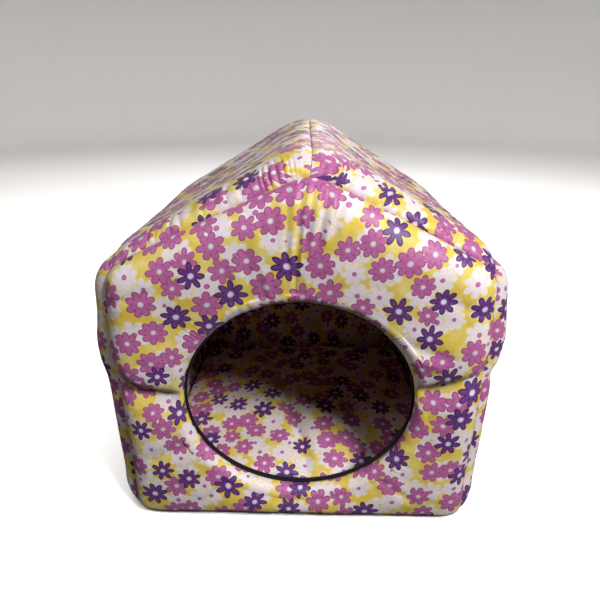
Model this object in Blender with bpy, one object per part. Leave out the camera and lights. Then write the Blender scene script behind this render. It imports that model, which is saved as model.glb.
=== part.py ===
"""A pet house of padded foam panels: gabled, with a round entrance and a waist fold.

The house stands on z = 0 with its entrance towards -Y, +X to the right of the entrance and the
origin under its middle. One closed seam line, drawn as seen from the front, is shared by the front
panel, the back panel and the five panels between them, so that neighbours meet edge to edge.
"""

import functools
import math

import bmesh
import bpy
import numpy as np

# Seam line, seen from the front
BASE_HALF_WIDTH = 0.201
EAVE_HALF_WIDTH = 0.199
FLOOR_SEAM_HEIGHT = 0.004
EAVE_HEIGHT = 0.323
APEX_HEIGHT = 0.420
WALL_BOW = 0.003
ROOF_BOW = 0.002
CORNER_SOFTNESS = 0.013
OUTLINE_STEP = 0.002

# Depth of the house
FACE_DEPTH = 0.196
SEAM_DEPTH = 0.176
FLOOR_SEAM_STEP = 0.010
FLOOR_SEAM_REACH = 0.045
LEFT_TAPER = 0.045
RIGHT_TAPER = 0.085

# The ridge lies off the middle: by so much at the front and at the back, from this height up
RIDGE_FRONT_SHIFT = 0.0115
RIDGE_BACK_SHIFT = 0.0040
RIDGE_SHIFT_START = 0.290

# Padding
PAD_INSET = 0.012
PAD_ROUND = 0.030
BACK_ROUND = 0.085
FLOOR_ROUND = 0.012
FRONT_INSET = 0.006
SEAM_GAP = 0.0002
FACE_CROWN = 0.004

# Entrance, all but round, in the front panel
ENTRANCE_HEIGHT = 0.168
ENTRANCE_HALF_WIDTH = 0.130
ENTRANCE_HALF_HEIGHT = 0.1235
RIM_RADIUS = 0.013

# Binding tape on the inner edge of the rim
TAPE_THICKNESS = 0.003
TAPE_GAP = 0.0006
TAPE_MIDDLE = math.radians(32)
TAPE_SPREAD = math.radians(27)

# Waist fold
FOLD_HEIGHT = 0.204
FOLD_TILT = 0.045
FOLD_DROP = 0.30
FOLD_ABOVE = 0.007
FOLD_BELOW = 0.020
BULGE_RISE = 0.036
BULGE_REACH = 0.032

# How deep the fold is and how far the padding bulges above it: in the front and back panels, in the
# pads of the two side walls and in the seams between the panels. It sags in the side walls.
PANEL_FOLD = (0.010, 0.004)
WALL_FOLDS = {"rising wall": (0.0040, 0.0045), "falling wall": (0.0005, 0.0050)}
WALL_SAG = 0.013
SEAM_FOLD = (0.0005, 0.002)

# Gathers where the roof meets the front panel
GATHER_HEIGHT = 0.0015
GATHER_REACH = 0.028

# Soft folds in the front panel. Columns: x and height of the upper end, x and height of the lower
# end, how deep the fold is and how far it reaches to each side.
FRONT_FOLDS = (
    (-0.012, 0.410, -0.009, 0.302, 0.0022, 0.007),
    (0.018, 0.402, 0.012, 0.365, 0.0020, 0.006),
    (-0.052, 0.345, -0.047, 0.298, 0.0016, 0.007),
    (0.095, 0.252, 0.150, 0.240, 0.0020, 0.008),
    (-0.110, 0.120, -0.165, 0.095, 0.0018, 0.009),
    (0.060, 0.390, 0.052, 0.350, 0.0014, 0.007),
)
FOLD_ENDS = 0.012

# Floor cushion
CUSHION_HALF_WIDTH = 0.184
CUSHION_HALF_DEPTH = 0.163
CUSHION_DRAW_IN = 0.035
CUSHION_CLEARANCE = 0.0004
CUSHION_LOWER_SEAM = 0.0112
CUSHION_UPPER_SEAM = 0.0176
CUSHION_SHOULDER = 0.0144
CUSHION_BULGE = 0.016
CUSHION_ROUND = 0.060
CUSHION_CREASE = 0.006
CREASE_REACH = 0.012
CREASE_START = 0.012
CREASE_END = -0.070

# Panels around the cabin, in order round the seam line. Columns: node, rows across it, how far its
# first seam, its pad beside that, its pad beside the last seam and the last seam stand proud of the
# seam line, and its crown.
PANELS = (
    ("base_panel", "plain", 0.003, 0.004, 0.004, 0.003, 0.000),
    ("side_right", "rising wall", 0.003, 0.018, 0.023, 0.006, 0.003),
    ("roof_right", "roof", 0.006, 0.016, 0.025, 0.019, -0.009),
    ("roof_left", "roof", 0.019, 0.025, 0.013, 0.006, -0.007),
    ("side_left", "falling wall", 0.006, 0.022, 0.023, 0.003, 0.003),
)

# Share of a wall's height at each row, from the floor seam to the eave, closer together at the fold
WALL_ROWS = (0, 0.03, 0.09, 0.18, 0.30, 0.42, 0.52, 0.58, 0.61, 0.635, 0.66, 0.71, 0.79, 0.88, 0.95, 1)
PLAIN_ROWS = 12
ROOF_ROWS = 22
DEPTH_ROWS = 16
CUSHION_ROWS = 18
EDGE_PULL = 0.72

# The front panel's section, from the rim to the seam outside and back again inside
ROLL_TURNS = (0, 30, 60, 90)
FACE_SHARES = (0.16, 0.34, 0.52, 0.68, 0.81, 0.91, 0.97, 1)
INSIDE_SHARES = (0.3, 0.7, 1)
ROLL_BACK_TURNS = (-60, -30)

# The back panel's rings, as shares of the way from its middle to the seam
BACK_SHARES = (0.16, 0.34, 0.52, 0.68, 0.80, 0.89, 0.96, 1)
TAPE_SIDES = 8

# Colour, roughness
PRINT = ((0.72, 0.48, 0.55), 0.62)
TAPE = ((0.012, 0.011, 0.014), 0.55)


def rounded(share):
    """The height of a pad's rounded edge: 0 on the seam, 1 past the rounding."""
    inside = np.clip(1 - share, 0, 1)
    return np.sqrt(1 - inside * inside)


def spread_rows(count):
    """Shares from 0 to 1, closer together at both ends, where the pad is rounded."""
    even = np.linspace(0, 1, count + 1)
    return even - EDGE_PULL * np.sin(2 * math.pi * even) / (2 * math.pi)


def gap_at_ends(count):
    """The step that keeps the first and the last of a panel's rows clear of its neighbours."""
    steps = np.zeros(count)
    steps[0] = SEAM_GAP
    steps[-1] = -SEAM_GAP
    return steps


def panel_rows(kind):
    """The shares at which the rows of a panel of this kind lie."""
    walls = np.array(WALL_ROWS, float)
    rows = {
        "plain": spread_rows(PLAIN_ROWS),
        "roof": spread_rows(ROOF_ROWS),
        "rising wall": walls,
        "falling wall": 1 - walls[::-1],
    }
    return rows[kind]


def waist(x, height, sizes, drop=0):
    """How far the waist fold draws a panel in, less the bulge above it."""
    depth, bulge = sizes
    line = FOLD_HEIGHT + FOLD_TILT * x + drop * (np.abs(x) - BASE_HALF_WIDTH)
    above = height - line
    reach = np.where(above > 0, FOLD_ABOVE, FOLD_BELOW)
    drawn_in = depth * np.exp(-((above / reach) ** 2))
    return drawn_in - bulge * np.exp(-(((above - BULGE_RISE) / BULGE_REACH) ** 2))


def outward_normals(line):
    """Unit normals that point out of a closed line that runs anticlockwise."""
    along = np.roll(line, -1, 0) - np.roll(line, 1, 0)
    across = np.stack([along[:, 1], -along[:, 0]], 1)
    return across / np.linalg.norm(across, axis=1)[:, None]


def seam_outline():
    """The closed seam line seen from the front: points, outward normals and the corners' indices."""
    corners = np.array(
        [
            (-BASE_HALF_WIDTH, FLOOR_SEAM_HEIGHT),
            (BASE_HALF_WIDTH, FLOOR_SEAM_HEIGHT),
            (EAVE_HALF_WIDTH, EAVE_HEIGHT),
            (0, APEX_HEIGHT),
            (-EAVE_HALF_WIDTH, EAVE_HEIGHT),
        ]
    )
    bows = (0, WALL_BOW, ROOF_BOW, ROOF_BOW, WALL_BOW)
    points = []
    marks = []
    for k, bow in enumerate(bows):
        start = corners[k]
        end = corners[(k + 1) % len(corners)]
        length = np.linalg.norm(end - start)
        outward = np.array([end[1] - start[1], start[0] - end[0]]) / length
        count = round(length / OUTLINE_STEP)
        share = np.arange(count) / count
        marks.append(sum(len(p) for p in points))
        arch = bow * 4 * share * (1 - share)
        points.append(start + np.outer(share, end - start) + np.outer(arch, outward))
    line = np.concatenate(points)
    for _ in range(round(2 * (CORNER_SOFTNESS / OUTLINE_STEP) ** 2)):
        line = (np.roll(line, 1, 0) + 2 * line + np.roll(line, -1, 0)) / 4
    line[:, 1] += FLOOR_SEAM_HEIGHT - line[:, 1].min()
    line -= outward_normals(line) * waist(*line.T, SEAM_FOLD)[:, None]
    return line, outward_normals(line), marks


OUTLINE, NORMALS, CORNERS = seam_outline()


def on_outline(panel, shares):
    """The seam line's points and outward normals at these shares of one panel's width."""
    start = CORNERS[panel]
    end = CORNERS[panel + 1] if panel + 1 < len(CORNERS) else len(OUTLINE)
    picked = np.arange(start, end + 1) % len(OUTLINE)
    points = OUTLINE[picked]
    run = np.concatenate([[0], np.cumsum(np.linalg.norm(np.diff(points, axis=0), axis=1))])
    wanted = np.asarray(shares) * run[-1]
    place = np.stack([np.interp(wanted, run, points[:, k]) for k in (0, 1)], -1)
    normal = np.stack([np.interp(wanted, run, NORMALS[picked][:, k]) for k in (0, 1)], -1)
    return place, normal / np.linalg.norm(normal, axis=-1, keepdims=True), run[-1]


def seam_stations():
    """The seam line's points and normals at every row of the panels around the cabin, once round."""
    places = []
    normals = []
    for k, (_, kind, *_) in enumerate(PANELS):
        place, normal, _ = on_outline(k, panel_rows(kind)[:-1])
        places.append(place)
        normals.append(normal)
    return np.concatenate(places), np.concatenate(normals)


STATIONS, STATION_NORMALS = seam_stations()


def seam_depth(height):
    """How far the front and back seams lie from the middle: further out near the floor."""
    return SEAM_DEPTH + FLOOR_SEAM_STEP * np.exp(-((height / FLOOR_SEAM_REACH) ** 2))


def edge_round(height):
    """The reach of a front or back pad's rounded edge, tighter at the floor."""
    low = np.exp(-((height / FLOOR_SEAM_REACH) ** 2))
    return PAD_ROUND + (FLOOR_ROUND - PAD_ROUND) * low


def place_surround(panel, rows, depths, skin):
    """The points of a panel around the cabin, at its rows, its depths and on one of its skins."""
    _, kind, first, pad_first, pad_last, last, crown = PANELS[panel]
    place, normal, width = on_outline(panel, rows)
    run = seam_depth(place[:, 1])
    way = 2 * depths[None, :] - 1
    if skin == "inside":
        y = way * (run - FRONT_INSET)[:, None]
        out = np.full(y.shape, -PAD_INSET)
    else:
        y = way * run[:, None]
        seam = first + (last - first) * rows
        pad = pad_first + (pad_last - pad_first) * rows
        from_side = rounded(np.minimum(rows, 1 - rows) * width / PAD_ROUND)
        height = seam + (pad - seam) * from_side
        at_back = PAD_ROUND + (BACK_ROUND - PAD_ROUND) * (place[:, :1] / EAVE_HALF_WIDTH) ** 2
        from_edge = rounded((run[:, None] - np.abs(y)) / np.where(y > 0, at_back, PAD_ROUND))
        arch = crown * np.sin(math.pi * rows)[:, None] * np.sin(math.pi * depths)[None, :]
        out = height[:, None] * from_edge + arch
        if kind in WALL_FOLDS:
            out = out - waist(place[:, 0], place[:, 1] + WALL_SAG, WALL_FOLDS[kind])[:, None] * from_edge
        if kind == "roof":
            beat = np.cos(math.pi * np.arange(len(rows)))[:, None]
            near = np.exp(-((run[:, None] + y - GATHER_REACH / 2) / GATHER_REACH) ** 2)
            out = out + GATHER_HEIGHT * beat * near * from_edge * np.sin(math.pi * rows)[:, None]
    tangent = np.stack([-normal[:, 1], normal[:, 0]], -1)
    flat = place[:, None, :] + normal[:, None, :] * out[..., None]
    flat = flat + (tangent * gap_at_ends(len(rows))[:, None])[:, None, :]
    y = y + gap_at_ends(len(depths))
    z = np.maximum(flat[..., 1], 0)
    return np.stack([flat[..., 0], y, z], -1)


def add_panel(name, surface, rows, depths):
    """A padded panel: a grid, extruded to two skins whose points are put where surface says."""
    mesh = bmesh.new()
    bmesh.ops.create_grid(mesh, x_segments=len(rows) - 1, y_segments=len(depths) - 1, size=0.5)
    risen = bmesh.ops.extrude_face_region(mesh, geom=mesh.faces[:], use_keep_orig=True)["geom"]
    inside = {v for v in risen if isinstance(v, bmesh.types.BMVert)}
    skins = {skin: surface(rows, depths, skin) for skin in ("outside", "inside")}
    for vert in mesh.verts:
        i = round((vert.co.x + 0.5) * (len(rows) - 1))
        j = round((vert.co.y + 0.5) * (len(depths) - 1))
        vert.co = skins["inside" if vert in inside else "outside"][i, j]
    return finish(name, mesh)


def soft_folds(x, height):
    """How far the front panel's soft folds draw its face in."""
    total = np.zeros(np.shape(x))
    for high_x, high, low_x, low, depth, reach in FRONT_FOLDS:
        length = math.hypot(low_x - high_x, low - high)
        run_x = (low_x - high_x) / length
        run_z = (low - high) / length
        along = (x - high_x) * run_x + (height - high) * run_z
        beside = (x - high_x) * run_z - (height - high) * run_x
        past = np.maximum(np.maximum(-along, along - length), 0)
        total = total + depth * np.exp(-((beside / reach) ** 2) - (past / FOLD_ENDS) ** 2)
    return total


def rim_directions():
    """For every station, the entrance's edge point and the way from it to the seam."""
    middle = np.array([0, ENTRANCE_HEIGHT])
    away = STATIONS - middle
    oval = np.array([ENTRANCE_HALF_WIDTH, ENTRANCE_HALF_HEIGHT])
    edge = middle + away / np.linalg.norm(away / oval, axis=1)[:, None]
    way = STATIONS - edge
    reach = np.linalg.norm(way, axis=1)
    return edge, way / reach[:, None], reach


EDGE, WAY, REACH = rim_directions()
RIM_DEPTH = FACE_DEPTH - RIM_RADIUS
PAD_BACK = FACE_DEPTH - 2 * RIM_RADIUS


def face_depth(places, from_seam, arch, drop):
    """How far the outer skin of the front or back pad lies from the middle of the house."""
    height = places[..., 1]
    seam = seam_depth(height)
    lift = rounded(from_seam / edge_round(height))
    depth = seam + (FACE_DEPTH - seam) * lift + FACE_CROWN * arch
    return depth - waist(places[..., 0], height, PANEL_FOLD, drop) * lift


def front_section():
    """The front panel's rings of points, in order round its section, station by station."""
    rings = []

    def roll(turn):
        """A ring on the rolled rim, turned from the innermost line to the face."""
        angle = math.radians(turn)
        place = EDGE + WAY * (RIM_RADIUS * (1 - math.cos(angle)))
        fold = waist(*place.T, PANEL_FOLD, FOLD_DROP) * max(math.sin(angle), 0) ** 2
        return place, -(RIM_DEPTH + RIM_RADIUS * math.sin(angle)) + fold

    for turn in ROLL_TURNS:
        rings.append(roll(turn))
    start = EDGE + WAY * RIM_RADIUS
    for share in FACE_SHARES:
        place = start + (STATIONS - start) * share
        from_seam = (REACH - RIM_RADIUS) * (1 - share)
        depth = face_depth(place, from_seam, math.sin(math.pi * share), FOLD_DROP)
        folds = soft_folds(*place.T) * rounded(from_seam / PAD_ROUND)
        rings.append((place, folds - depth))
    seam_in = STATIONS - STATION_NORMALS * PAD_INSET
    rings.append((seam_in, FRONT_INSET - seam_depth(STATIONS[:, 1])))
    for share in INSIDE_SHARES:
        rings.append((seam_in + (start - seam_in) * share, -PAD_BACK))
    for turn in ROLL_BACK_TURNS:
        rings.append(roll(turn))
    for k in (len(ROLL_TURNS) + len(FACE_SHARES) - 1, len(ROLL_TURNS) + len(FACE_SHARES)):
        place, depth = rings[k]
        rings[k] = (place, depth - SEAM_GAP)
    return [np.stack([p[:, 0], d * np.ones(len(p)), p[:, 1]], -1) for p, d in rings]


def tape_section():
    """The binding's rings of points: a thin curved strip that hugs the inner side of the rolled rim."""
    middle = RIM_RADIUS + TAPE_GAP + TAPE_THICKNESS / 2
    to_corner = 1 / math.cos(math.pi / TAPE_SIDES)
    rings = []
    for k in range(TAPE_SIDES):
        around = 2 * math.pi * (k + 0.5) / TAPE_SIDES
        turn = -TAPE_MIDDLE + TAPE_SPREAD * to_corner * math.cos(around)
        radius = middle + TAPE_THICKNESS / 2 * to_corner * math.sin(around)
        place = EDGE + WAY * (RIM_RADIUS - radius * math.cos(turn))
        depth = -(RIM_DEPTH + radius * math.sin(turn)) * np.ones(len(place))
        rings.append(np.stack([place[:, 0], depth, place[:, 1]], -1))
    return rings


def add_ring(name, rings):
    """A closed ring: a torus whose points are put on these rings, one station after another."""
    stations = len(rings[0])
    bpy.ops.mesh.primitive_torus_add(
        major_segments=stations, minor_segments=len(rings), major_radius=1, minor_radius=0.25
    )
    torus = bpy.context.object
    mesh = bmesh.new()
    mesh.from_mesh(torus.data)
    old = torus.data
    bpy.data.objects.remove(torus)
    bpy.data.meshes.remove(old)
    for vert in mesh.verts:
        x, y, z = vert.co
        around = math.atan2(y, x) / (2 * math.pi) * stations
        across = math.atan2(z, math.hypot(x, y) - 1) / (2 * math.pi) * len(rings)
        vert.co = rings[round(across) % len(rings)][round(around) % stations]
    return finish(name, mesh)


def back_section():
    """The back panel's rings of points, from the middle outside to the seam and back inside."""
    middle = np.array([0, FOLD_HEIGHT])
    seam_in = STATIONS - STATION_NORMALS * PAD_INSET
    reach = np.linalg.norm(STATIONS - middle, axis=1)
    rings = []
    for share in (0, *BACK_SHARES):
        place = middle + (STATIONS - middle) * share
        arch = math.cos(math.pi / 2 * share)
        rings.append((place, face_depth(place, reach * (1 - share), arch, 0)))
    rings.append((seam_in, seam_depth(STATIONS[:, 1]) - FRONT_INSET))
    for share in (*BACK_SHARES[-2::-1], 0):
        rings.append((middle + (seam_in - middle) * share, PAD_BACK))
    for k in (len(BACK_SHARES), len(BACK_SHARES) + 1):
        place, depth = rings[k]
        rings[k] = (place, depth + SEAM_GAP)
    return [np.stack([p[:, 0], d * np.ones(len(p)), p[:, 1]], -1) for p, d in rings]


def add_disc(name, rings):
    """A closed disc: a sphere whose rings of points, from pole to pole, are put on these rings."""
    stations = len(rings[0])
    mesh = bmesh.new()
    bmesh.ops.create_uvsphere(mesh, u_segments=stations, v_segments=len(rings) - 1, radius=1)
    for vert in mesh.verts:
        x, y, z = vert.co
        ring = round(math.acos(max(-1, min(1, z))) / math.pi * (len(rings) - 1))
        around = math.atan2(y, x) / (2 * math.pi) * stations
        vert.co = rings[ring][round(around) % stations]
    return finish(name, mesh)


def place_cushion(rows, depths, skin):
    """The cushion's skins: crowned, its corners and sides drawn in, one crease from front to back."""
    u = (2 * rows - 1)[:, None] * np.ones(len(depths))[None, :]
    v = (2 * depths - 1)[None, :] * np.ones(len(rows))[:, None]
    x = u * CUSHION_HALF_WIDTH * (1 - CUSHION_DRAW_IN * np.abs(v) ** 3)
    y = v * CUSHION_HALF_DEPTH * (1 - CUSHION_DRAW_IN * np.abs(u) ** 3)
    from_side = np.minimum((1 - np.abs(u)) * CUSHION_HALF_WIDTH, CUSHION_ROUND) / CUSHION_ROUND
    from_end = np.minimum((1 - np.abs(v)) * CUSHION_HALF_DEPTH, CUSHION_ROUND) / CUSHION_ROUND
    puff = np.sqrt(rounded(from_side) * rounded(from_end))
    floor = FLOOR_SEAM_HEIGHT + PAD_INSET + CUSHION_CLEARANCE
    if skin == "outside":
        line = CREASE_START + (CREASE_END - CREASE_START) * depths[None, :]
        crease = CUSHION_CREASE * np.exp(-(((x - line) / CREASE_REACH) ** 2)) * puff
        z = floor + CUSHION_UPPER_SEAM + CUSHION_SHOULDER * puff
        z = z + CUSHION_BULGE * np.cos(u * math.pi / 2) * np.cos(v * math.pi / 2) - crease
    else:
        z = floor + CUSHION_LOWER_SEAM * (1 - puff)
    return np.stack([x, y, z], -1)


def finish(name, mesh):
    """Turns a built mesh into the named object, faces outwards and smooth, with its material."""
    for vert in mesh.verts:
        towards_back = 0.5 + vert.co.y / (2 * FACE_DEPTH)
        ridge = RIDGE_FRONT_SHIFT + (RIDGE_BACK_SHIFT - RIDGE_FRONT_SHIFT) * towards_back
        rise = max(vert.co.z - RIDGE_SHIFT_START, 0) / (APEX_HEIGHT - RIDGE_SHIFT_START)
        taper = RIGHT_TAPER if vert.co.x > 0 else LEFT_TAPER
        vert.co.x = vert.co.x * (1 - taper * towards_back) + ridge * rise ** 1.3
    bmesh.ops.recalc_face_normals(mesh, faces=mesh.faces)
    if mesh.calc_volume(signed=True) < 0:
        bmesh.ops.reverse_faces(mesh, faces=mesh.faces)
    data = bpy.data.meshes.new(name)
    mesh.to_mesh(data)
    mesh.free()
    data.shade_smooth()
    colour, roughness = TAPE if name == "rim_binding" else PRINT
    material = bpy.data.materials.new(name)
    material.use_nodes = True
    shader = material.node_tree.nodes["Principled BSDF"]
    shader.inputs["Base Color"].default_value = (*colour, 1)
    shader.inputs["Roughness"].default_value = roughness
    shader.inputs["Metallic"].default_value = 0
    data.materials.append(material)
    made = bpy.data.objects.new(name, data)
    bpy.data.collections["pet_house"].objects.link(made)
    return made


def main():
    for old in list(bpy.data.objects):
        bpy.data.objects.remove(old)
    house = bpy.data.collections.new("pet_house")
    bpy.context.scene.collection.children.link(house)
    for k, (name, kind, *_) in enumerate(PANELS):
        surface = functools.partial(place_surround, k)
        add_panel(name, surface, panel_rows(kind), spread_rows(DEPTH_ROWS))
    add_ring("front_panel", front_section())
    add_ring("rim_binding", tape_section())
    add_disc("back_panel", back_section())
    add_panel("floor_cushion", place_cushion, spread_rows(CUSHION_ROWS), spread_rows(DEPTH_ROWS))


main()
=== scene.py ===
"""The looks of a padded pet house: printed panels over foam, a taped round entrance, a cushion."""

import logging
import math
from collections.abc import Callable
from dataclasses import dataclass, field
from enum import Enum

import bmesh
import bpy
import numpy as np
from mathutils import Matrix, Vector


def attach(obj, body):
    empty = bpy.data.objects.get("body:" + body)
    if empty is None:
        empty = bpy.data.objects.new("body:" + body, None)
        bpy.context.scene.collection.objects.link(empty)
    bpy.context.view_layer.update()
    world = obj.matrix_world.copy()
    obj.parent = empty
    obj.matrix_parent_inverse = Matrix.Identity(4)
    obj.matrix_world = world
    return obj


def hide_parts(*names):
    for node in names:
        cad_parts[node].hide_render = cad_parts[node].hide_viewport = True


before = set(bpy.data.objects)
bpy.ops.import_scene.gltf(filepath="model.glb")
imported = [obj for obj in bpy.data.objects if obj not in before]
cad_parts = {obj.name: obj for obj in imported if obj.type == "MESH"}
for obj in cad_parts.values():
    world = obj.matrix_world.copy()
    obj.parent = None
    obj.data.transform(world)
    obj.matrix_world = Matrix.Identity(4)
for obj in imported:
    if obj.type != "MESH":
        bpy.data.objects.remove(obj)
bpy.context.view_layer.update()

log = logging.getLogger("pet_house")

Colour = tuple[float, float, float]
Array = np.ndarray
Fold = tuple[float, float, float, float, float, float]

CLOTH_MAP = "cloth"
TURN = 2 * math.pi
LATTICE = 64
INSIDE_SHIFT = 0.7
JOIN_DISTANCE = 2e-6
TINY = 1e-12
PAD_FILL = 0.9
CUSHION_FILL = 0.7


def srgb(red: int, green: int, blue: int) -> Colour:
    """A colour as a screen shows it, from 0 to 255, as the linear colour that a shader takes."""
    shares = [part / 255 for part in (red, green, blue)]
    return tuple(s / 12.92 if s <= 0.04045 else ((s + 0.055) / 1.055) ** 2.4 for s in shares)


def rounded(share: Array) -> Array:
    """The height of a pad's rounded edge: 0 on the seam, 1 past the rounding."""
    inside = np.clip(1 - share, 0, 1)
    return np.sqrt(1 - inside * inside)


def bell(distance: Array, reach: Array | float) -> Array:
    """1 at no distance, falling smoothly to nothing past the reach."""
    return np.exp(-((distance / reach) ** 2))


def spread(count: int, pull: float = 0.72) -> Array:
    """Shares from 0 to 1 in so many steps, drawn to both ends by a pull below 1."""
    even = np.linspace(0, 1, count + 1)
    return even - pull * np.sin(TURN * even) / TURN


def unevenness(x: Array, y: Array, size: float, seed: int) -> Array:
    """Smooth ups and downs between -1 and 1.

    Args:
        x: First coordinate on the cloth, in metres.
        y: Second coordinate on the cloth, in metres.
        size: How far the ups lie from the downs, in metres.
        seed: Which pattern it is.

    Returns:
        One value for every point.
    """
    lattice = np.random.default_rng(seed).uniform(-1, 1, (LATTICE, LATTICE))
    across, along = np.broadcast_arrays(x / size, y / size)
    column, row = np.floor(across).astype(int), np.floor(along).astype(int)
    fx, fy = across - column, along - row
    fx, fy = (f**3 * (f * (6 * f - 15) + 10) for f in (fx, fy))

    def corner(dx: int, dy: int) -> Array:
        """The lattice's values at one corner of every point's cell."""
        return lattice[(column + dx) % LATTICE, (row + dy) % LATTICE]

    low = corner(0, 0) * (1 - fx) + corner(1, 0) * fx
    high = corner(0, 1) * (1 - fx) + corner(1, 1) * fx
    return low * (1 - fy) + high * fy


def waves(x: Array, y: Array, *kinds: tuple[float, float, int]) -> Array:
    """Several kinds of unevenness together, each with its height, its size and its pattern."""
    return sum(height * unevenness(x, y, size, seed) for height, size, seed in kinds)


def upright(place: Array, y: Array | float) -> Array:
    """Points that are seen from the front at these places, so far back from the middle."""
    return np.stack([place[:, 0], np.broadcast_to(y, len(place)), place[:, 1]], -1)


def pushed_out(points: Array, amount: Array, outward: Array) -> Array:
    """The points of a grid, moved along its own normals.

    Args:
        points: The grid's points, rows by columns by three.
        amount: How far each one moves.
        outward: A direction for each point that its normal roughly has.

    Returns:
        The moved points.
    """
    normal = np.cross(np.gradient(points, axis=0), np.gradient(points, axis=1))
    length = np.linalg.norm(normal, axis=-1, keepdims=True)
    normal = np.where(length > TINY, normal / np.maximum(length, TINY), outward)
    normal = normal * np.sign(np.sum(normal * outward, axis=-1, keepdims=True))
    return points + normal * amount[..., None]


def run_along(points: Array, axis: int, start: int) -> Array:
    """Lengths measured over a grid's surface, along one of its axes.

    Args:
        points: The grid's points, rows by columns by three.
        axis: The axis that is followed.
        start: The row or column that the lengths count from.

    Returns:
        One length for every point.
    """
    steps = np.linalg.norm(np.diff(points, axis=axis), axis=-1)
    run = np.insert(np.cumsum(steps, axis=axis), 0, 0, axis=axis)
    return run - np.take(run, [start], axis=axis)


@dataclass(frozen=True)
class WaistFold:
    """The fold that runs round the house where its foam panels bend."""

    height: float = 0.204
    tilt: float = 0.045
    front_drop: float = 0.30
    above: float = 0.007
    below: float = 0.020
    bulge_rise: float = 0.036
    bulge_reach: float = 0.032
    half_width: float = 0.201
    panel: tuple[float, float] = (0.010, 0.004)
    right_wall: tuple[float, float] = (0.0040, 0.0045)
    left_wall: tuple[float, float] = (0.0005, 0.0050)
    wall_sag: float = 0.013
    seam: tuple[float, float] = (0.0005, 0.002)

    def draw_in(self, x: Array, height: Array, sizes: tuple[float, float], drop: float = 0) -> Array:
        """How far the fold draws a panel in, less the bulge above it.

        Args:
            x: Place across the house.
            height: Place above the floor.
            sizes: Depth of the fold and height of the bulge.
            drop: How far the fold falls towards the entrance, per metre.

        Returns:
            The distance at every place.
        """
        depth, bulge = sizes
        line = self.height + self.tilt * x + drop * (np.abs(x) - self.half_width)
        above = height - line
        reach = np.where(above > 0, self.above, self.below)
        drawn_in = depth * bell(above, reach)
        return drawn_in - bulge * bell(above - self.bulge_rise, self.bulge_reach)


@dataclass(frozen=True)
class Padding:
    """How thick the foam is and how it rounds off towards the seams."""

    face_depth: float = 0.196
    seam_depth: float = 0.176
    floor_step: float = 0.010
    floor_reach: float = 0.045
    left_taper: float = 0.045
    right_taper: float = 0.085
    ridge_shift: tuple[float, float] = (0.0115, 0.0040)
    ridge_start: float = 0.290
    ridge_height: float = 0.420
    ridge_curve: float = 1.3
    inset: float = 0.012
    edge: float = 0.030
    roof_edge: float = 0.046
    back_edge: float = 0.085
    floor_edge: float = 0.012
    front_inset: float = 0.006
    gap: float = 0.0002
    face_crown: float = 0.004

    def seam(self, height: Array) -> Array:
        """How far the front and back seams lie from the middle: further out near the floor."""
        return self.seam_depth + self.floor_step * bell(height, self.floor_reach)

    def rounding(self, height: Array) -> Array:
        """The reach of a front or back pad's rounded edge, tighter at the floor."""
        low = bell(height, self.floor_reach)
        return self.edge + (self.floor_edge - self.edge) * low

    def settled(self, points: Array) -> Array:
        """Makes the house narrower towards its back and moves its ridge off the middle.

        Args:
            points: Points of a piece.

        Returns:
            The moved points.
        """
        towards_back = 0.5 + points[..., 1] / (2 * self.face_depth)
        at_front, at_back = self.ridge_shift
        ridge = at_front + (at_back - at_front) * towards_back
        rise = np.maximum(points[..., 2] - self.ridge_start, 0) / (self.ridge_height - self.ridge_start)
        taper = np.where(points[..., 0] > 0, self.right_taper, self.left_taper)
        x = points[..., 0] * (1 - taper * towards_back) + ridge * rise**self.ridge_curve
        return np.stack([x, points[..., 1], points[..., 2]], -1)


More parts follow.
